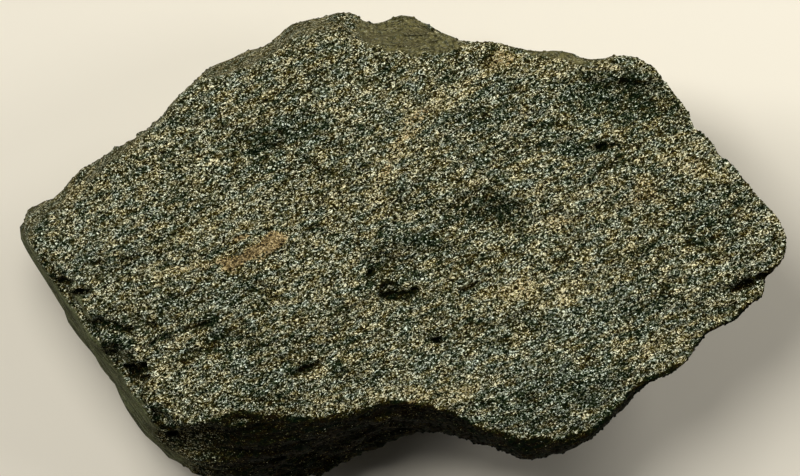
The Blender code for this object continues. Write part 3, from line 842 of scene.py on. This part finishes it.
def rock_material(name, settings, groups, middle, tone_share=0.0, crystal_share=1.0):
    """The rock's material. With a tone share its level follows each grain's own painted tone, and
    otherwise the fabric of grains and cement in the surface."""
    material = bpy.data.materials.new(name)
    material.use_nodes = True
    tree = material.node_tree
    tree.nodes.clear()
    place = add_node(tree, "ShaderNodeTexCoord").outputs["Object"]
    place = add_node(tree, "ShaderNodeMapping", {"Vector": place, "Scale": (1.0 / MM,) * 3}).outputs[0]
    warm, pale, skin, joint = (read_layer(tree, layer) for layer in ("warm", "pale", "skin", "joint"))

    long_patches = drawn_out(tree, place, LAYER_STRIKE, PATCH_STRETCH)
    small = soft_noise(tree, long_patches, *SMALL_PATCHES)[0]
    large = soft_noise(tree, long_patches, *LARGE_PATCHES)[0]
    patch = maths(tree, "MULTIPLY_ADD", small, SMALL_STRENGTH, PATCH_START)
    patch = maths(tree, "MULTIPLY_ADD", large, LARGE_STRENGTH, patch)
    warmth = maths(tree, "MULTIPLY_ADD", warm, WARM_STRENGTH, patch, clamp=True)

    long_grains = drawn_out(tree, place, LAYER_STRIKE, GRAIN_STRETCH)
    shift = vector_maths(tree, "SUBTRACT", soft_noise(tree, long_grains, *WANDER_NOISE)["Color"], (0.5,) * 3)
    bent = vector_maths(tree, "MULTIPLY_ADD", shift, (WANDER,) * 3, long_grains)
    grain_size = settings.grain_size / MM
    dust = use_group(tree, groups["crystal dust"], Place=bent, Grain_Size=grain_size)
    moves = [
        (dust["Crystal"], crystal_share * LEVEL["crystal"]), (dust["Dust"], crystal_share * LEVEL["dust"]),
        (warmth, LEVEL["patch"]),
    ]
    height = dust["Relief"]
    if tone_share:
        moves.append((read_layer(tree, "tone"), tone_share))
    else:
        fabric = use_group(tree, groups["peloid fabric"], Place=bent, Grain_Size=grain_size)
        moves += [(fabric["Grain"], LEVEL["grain"]), (fabric["Cement"], LEVEL["cement"])]
        height = maths(tree, "MULTIPLY_ADD", height, CRYSTAL_RELIEF, fabric["Dome"])
    # The pale value brings in the stain marks and crystals, and the painted shade and highlight
    level = maths(tree, "MULTIPLY_ADD", pale, LEVEL["pale"], moved_level(tree, middle, *moves))

    ochre = moved_level(tree, warm, (dust["Crystal"], OCHRE_RAGGED))
    colour = use_group(
        tree, groups["mineral colours"], Level=level, Warmth=warmth, Ochre=ramp(tree, ochre, *OCHRE_FADE),
        Skin=maths(tree, "MULTIPLY", ramp(tree, skin, *SKIN_SHOWS), SKIN_COVER), Joint=joint, Place=place,
    )["Colour"]
    bump = add_node(
        tree, "ShaderNodeBump", {"Strength": BUMP_STRENGTH, "Distance": BUMP_HEIGHT, "Height": height},
    )
    shader = add_node(
        tree, "ShaderNodeBsdfPrincipled",
        {"Base Color": colour, "Roughness": ROUGHNESS, "Specular IOR Level": SPECULAR,
         "Normal": bump.outputs[0]},
    )
    out = tree.nodes.new("ShaderNodeOutputMaterial")
    tree.links.new(shader.outputs[0], out.inputs["Surface"])
    return material


# The grains that stand in the surface: the part that they cover, their shape, and their seed
GRAINS = {
    "face_grains": ("face", "ball", 1),
    "upper_wall_grains": ("upper walls", "ball", 2),
    "lower_wall_grains": ("lower walls", "ball", 3),
    "face_chips": ("face", "chip", 4),
}
WALL_MIDDLE = 8.0 * MM
# Points tried for each square of the least distance, and how fast grains get fewer with the skin
TRIES = 1.2
FEWER_ON_SKIN = -1.3

# Grains are longer along the layers, and lean away from them by up to an angle in radians
GRAIN_FORM = (1.18, 0.90, 0.90)
GRAIN_LEAN = 0.9
CHIP_FORM = {"Vertices": 4, "Radius Top": 0.0, "Radius Bottom": 0.6, "Depth": 0.9}
# Middle level, share of each grain's own tone, and share of the crystals and dust
BALL_TONES = (0.205, 0.24, 0.74)
CHIP_TONES = (0.66, 0.60)


def field_node(tree, kind, inputs=None, **settings):
    """The outputs of a new geometry node."""
    return add_node(tree, kind, inputs, **settings).outputs


def share_of_part(tree, part):
    """1 on the part of the surface that takes the grains, less under the worn skin, else 0."""
    normal = field_node(tree, "ShaderNodeSeparateXYZ", {0: field_node(tree, "GeometryNodeInputNormal")[0]})
    place = field_node(tree, "ShaderNodeSeparateXYZ", {0: field_node(tree, "GeometryNodeInputPosition")[0]})
    skin = field_node(tree, "GeometryNodeInputNamedAttribute", {"Name": "skin"}, data_type="FLOAT")[0]
    chosen = upward = maths(tree, "GREATER_THAN", normal[2], FACE_FADE[0])
    if part != "face":
        low = maths(tree, "LESS_THAN", place[2], WALL_MIDDLE)
        level = low if part == "lower walls" else maths(tree, "SUBTRACT", 1.0, low)
        chosen = maths(tree, "MULTIPLY", maths(tree, "SUBTRACT", 1.0, upward), level)
    return maths(tree, "MULTIPLY", chosen, maths(tree, "MULTIPLY_ADD", skin, FEWER_ON_SKIN, 1.0, clamp=True))


def grain_nodes(name, part, shape, seed, distance, width, settings):
    """Geometry nodes that scatter grains over a part of the surface and make them real."""
    tree = bpy.data.node_groups.new(name, "GeometryNodeTree")
    tree.interface.new_socket("Surface", in_out="INPUT", socket_type="NodeSocketGeometry")
    tree.interface.new_socket("Grains", in_out="OUTPUT", socket_type="NodeSocketGeometry")
    surface = tree.nodes.new("NodeGroupInput").outputs[0]
    scattered = field_node(
        tree, "GeometryNodeDistributePointsOnFaces",
        {"Mesh": surface, "Distance Min": distance, "Density Max": TRIES / distance ** 2,
         "Density Factor": share_of_part(tree, part), "Seed": seed},
        distribute_method="POISSON",
    )
    inward = field_node(
        tree, "ShaderNodeVectorMath", {0: scattered["Normal"], "Scale": -settings.sink * width},
        operation="SCALE",
    )[0]
    points = field_node(tree, "GeometryNodeSetPosition", {"Geometry": scattered[0], "Offset": inward})[0]
    if shape == "ball":
        one = field_node(tree, "GeometryNodeMeshIcoSphere", {"Radius": 0.5, "Subdivisions": 1})[0]
    else:
        one = field_node(tree, "GeometryNodeMeshCone", CHIP_FORM)[0]
    turns = [(way * GRAIN_LEAN, way * GRAIN_LEAN, LAYER_STRIKE + way * GRAIN_LEAN) for way in (-1.0, 1.0)]
    sizes = [[width * side * (1.0 + way * settings.vary) for side in GRAIN_FORM] for way in (-1.0, 1.0)]
    turn, size = (
        field_node(
            tree, "FunctionNodeRandomValue", {0: least, 1: most, "Seed": seed + step},
            data_type="FLOAT_VECTOR",
        )[0]
        for (least, most), step in ((turns, 0), (sizes, 10))
    )
    placed = field_node(
        tree, "GeometryNodeInstanceOnPoints",
        {"Points": points, "Instance": one, "Rotation": turn, "Scale": size},
    )[0]
    tone = field_node(tree, "FunctionNodeRandomValue", {"Seed": seed + 20}, data_type="FLOAT")[1]
    toned_grains = field_node(
        tree, "GeometryNodeStoreNamedAttribute", {"Geometry": placed, "Name": "tone", "Value": tone},
        data_type="FLOAT", domain="INSTANCE",
    )[0]
    real = field_node(tree, "GeometryNodeRealizeInstances", {0: toned_grains})[0]
    out = tree.nodes.new("NodeGroupOutput")
    tree.links.new(real, out.inputs[0])
    return tree


def scatter_grains(surface, name, settings):
    """One joined mesh of grains that stand in the finished surface."""
    part, shape, seed = GRAINS[name]
    if shape == "chip":
        distance, width = settings.chip_spacing, settings.chip_width
    elif part == "face":
        distance, width = settings.face_spacing, settings.face_width
    else:
        distance, width = settings.wall_spacing, settings.wall_width
    piece = bpy.data.objects.new(name, surface.data.copy())
    bpy.context.scene.collection.objects.link(piece)
    scatter = piece.modifiers.new("Grains", "NODES")
    scatter.node_group = grain_nodes(name, part, shape, seed, distance, width, settings)
    apply_modifiers(piece)
    return piece


def length_setting(name, description, millimetres):
    """A length that the user can change, in metres."""
    return bpy.props.FloatProperty(
        name=name, description=description, default=millimetres * MM, min=0.01 * MM, unit="LENGTH",
        precision=5,
    )


def colour_setting(name, description, colour):
    """A colour that the user can change."""
    return bpy.props.FloatVectorProperty(
        name=name, description=description, default=colour, min=0.0, max=1.0, subtype="COLOR",
    )


class StoneSettings(bpy.types.PropertyGroup):
    """Sizes and colours of the stone's surface."""

    mesh_spacing: length_setting("Mesh spacing", "Spacing of the sculpted surface's vertices", 0.20)
    grain_size: length_setting("Grain size", "Width of one dark grain", 0.285)
    grain_colour: colour_setting("Dark grains", "Colour of the dark grains", (0.0156, 0.0162, 0.0030))
    grey_colour: colour_setting("Grey grains", "Colour of the greyer grains", (0.0540, 0.0540, 0.0215))
    cement_colour: colour_setting("Cement", "Colour of the cement between the grains", (0.325, 0.317, 0.205))
    speck_colour: colour_setting("Specks", "Colour of the palest crystals", (0.93, 0.92, 0.78))
    ochre_colour: colour_setting("Ochre", "Colour of the streak of ochre", (0.26, 0.18, 0.075))
    skin_colour: colour_setting("Worn skin", "Colour of the worn walls", (0.104, 0.093, 0.037))
    joint_colour: colour_setting("Joint", "Colour of the smooth joint wall", (0.083, 0.094, 0.042))


class GrainSettings(bpy.types.PropertyGroup):
    """Sizes of the grains and chips that stand in the surface."""

    face_spacing: length_setting("Face spacing", "Least distance between grains of the broad face", 0.23)
    face_width: length_setting("Face grains", "Width of the grains of the broad face", 0.21)
    wall_spacing: length_setting("Wall spacing", "Least distance between grains of the walls", 0.29)
    wall_width: length_setting("Wall grains", "Width of the grains of the walls", 0.25)
    chip_spacing: length_setting("Chip spacing", "Least distance between crystals of the broad face", 0.18)
    chip_width: length_setting("Chips", "Width of the crystals of the broad face", 0.10)
    vary: bpy.props.FloatProperty(
        name="Vary", description="How far the widths vary, as a share", default=0.38, min=0.0, max=1.0,
    )
    sink: bpy.props.FloatProperty(
        name="Sink", description="How deep grains sit in the surface, as a share of their width",
        default=0.22, min=0.0, max=0.5,
    )


class StageSettings(bpy.types.PropertyGroup):
    """The floor and the light round the stone."""

    floor_colour: colour_setting("Floor", "Colour of the floor", (0.80, 0.74, 0.61))
    lamp_power: bpy.props.FloatProperty(
        name="Lamps", description="Power that the soft lamps share, in watts", default=1.0, min=0.0,
    )
    sky_strength: bpy.props.FloatProperty(
        name="Fill", description="Strength of the light from all round", default=0.03, min=0.0,
    )


def finish_piece(piece, material, smooth):
    """Gives a finished piece its material and shading, and its place on the part."""
    piece.data.polygons.foreach_set("use_smooth", [smooth] * len(piece.data.polygons))
    piece.data.materials.clear()
    piece.data.materials.append(material)
    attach(piece, "root")


class PHOSPHORITE_OT_stone(bpy.types.Operator):
    """Make the stone's broken surface in place of its plain solid"""

    bl_idname = "phosphorite.stone"
    bl_label = "Stone"

    def execute(self, context):
        settings = context.scene.phosphorite_stone
        low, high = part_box("stone")
        groups = rock_groups(settings)
        piece = merged_copy("stone", "stone_surface")
        refine(piece, settings.mesh_spacing / MM)
        sculpt(piece, settings)
        fewer_faces(piece, MOST_TRIANGLES)
        into_metres(piece)
        keep_inside(piece, low, high)
        finish_piece(piece, rock_material("phosphorite_surface", settings, groups, LEVEL["middle"]), True)
        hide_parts("stone")
        return {"FINISHED"}


class PHOSPHORITE_OT_grains(bpy.types.Operator):
    """Make the grains and chips that stand in the finished surface"""

    bl_idname = "phosphorite.grains"
    bl_label = "Grains"

    def execute(self, context):
        surface = bpy.data.objects["stone_surface"]
        low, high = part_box("stone")
        settings = context.scene.phosphorite_stone
        groups = rock_groups(settings)
        ball_material = rock_material("phosphorite_grains", settings, groups, *BALL_TONES)
        chip_material = rock_material("phosphorite_chips", settings, groups, *CHIP_TONES)
        for name, (_, shape, _) in GRAINS.items():
            piece = scatter_grains(surface, name, context.scene.phosphorite_grains)
            keep_inside(piece, low, high)
            finish_piece(piece, chip_material if shape == "chip" else ball_material, False)
        return {"FINISHED"}


class PHOSPHORITE_OT_stage(bpy.types.Operator):
    """Make the pale floor, the soft light and the camera that looks straight down"""

    bl_idname = "phosphorite.stage"
    bl_label = "Stage"

    def execute(self, context):
        settings = context.scene.phosphorite_stage
        mesh = bmesh.new()
        bmesh.ops.create_grid(mesh, x_segments=2, y_segments=2, size=FLOOR_REACH)
        data = bpy.data.meshes.new("floor")
        mesh.to_mesh(data)
        mesh.free()
        floor = bpy.data.objects.new("floor", data)
        context.scene.collection.objects.link(floor)
        material = bpy.data.materials.new("floor")
        material.use_nodes = True
        shader = material.node_tree.nodes["Principled BSDF"]
        shader.inputs["Base Color"].default_value = (*settings.floor_colour, 1.0)
        shader.inputs["Roughness"].default_value = FLOOR_ROUGHNESS
        data.materials.append(material)

        for name, (azimuth, elevation, distance, share) in LAMPS.items():
            turn, rise = math.radians(azimuth), math.radians(elevation)
            away = Vector((math.cos(turn) * math.cos(rise), math.sin(turn) * math.cos(rise), math.sin(rise)))
            lamp_data = bpy.data.lights.new(name, "AREA")
            lamp_data.shape = "DISK"
            lamp_data.size = LAMP_WIDTH * distance
            lamp_data.energy = settings.lamp_power * share
            lamp = bpy.data.objects.new(name, lamp_data)
            lamp.location = away * distance
            lamp.rotation_euler = (-away).to_track_quat("-Z", "Y").to_euler()
            context.scene.collection.objects.link(lamp)

        world = bpy.data.worlds.new("room")
        world.use_nodes = True
        world.node_tree.nodes["Background"].inputs["Color"].default_value = (1.0, 1.0, 1.0, 1.0)
        world.node_tree.nodes["Background"].inputs["Strength"].default_value = settings.sky_strength
        context.scene.world = world

        camera_data = bpy.data.cameras.new("camera")
        camera_data.lens = LENS
        camera_data.sensor_width = SENSOR
        camera_data.clip_start = CLIP_START
        camera_data.clip_end = CLIP_END
        camera = bpy.data.objects.new("camera", camera_data)
        distance = PICTURE_WIDTH * LENS / SENSOR
        camera.location = (*PICTURE_MIDDLE, PICTURE_LEVEL + distance)
        context.scene.collection.objects.link(camera)
        context.scene.camera = camera
        context.scene.view_settings.view_transform = "Standard"
        return {"FINISHED"}


class PHOSPHORITE_PT_panel(bpy.types.Panel):
    """Lists the makers of the specimen's pieces"""

    bl_idname = "PHOSPHORITE_PT_panel"
    bl_label = "Phosphorite"
    bl_space_type = "VIEW_3D"
    bl_region_type = "UI"
    bl_category = "Phosphorite"

    def draw(self, context):
        for settings, operator in (
            (context.scene.phosphorite_stone, PHOSPHORITE_OT_stone),
            (context.scene.phosphorite_grains, PHOSPHORITE_OT_grains),
            (context.scene.phosphorite_stage, PHOSPHORITE_OT_stage),
        ):
            box = self.layout.box()
            for name in settings.bl_rna.properties.keys():
                if name not in ("rna_type", "name"):
                    box.prop(settings, name)
            box.operator(operator.bl_idname)


CLASSES = (
    StoneSettings, GrainSettings, StageSettings,
    PHOSPHORITE_OT_stone, PHOSPHORITE_OT_grains, PHOSPHORITE_OT_stage, PHOSPHORITE_PT_panel,
)


def register():
    for one in CLASSES:
        bpy.utils.register_class(one)
    bpy.types.Scene.phosphorite_stone = bpy.props.PointerProperty(type=StoneSettings)
    bpy.types.Scene.phosphorite_grains = bpy.props.PointerProperty(type=GrainSettings)
    bpy.types.Scene.phosphorite_stage = bpy.props.PointerProperty(type=StageSettings)


def unregister():
    del bpy.types.Scene.phosphorite_stage
    del bpy.types.Scene.phosphorite_grains
    del bpy.types.Scene.phosphorite_stone
    for one in reversed(CLASSES):
        bpy.utils.unregister_class(one)


def main():
    register()
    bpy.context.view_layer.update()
    bpy.ops.phosphorite.stone()
    bpy.ops.phosphorite.grains()
    bpy.ops.phosphorite.stage()


if __name__ == "__main__":
    main()
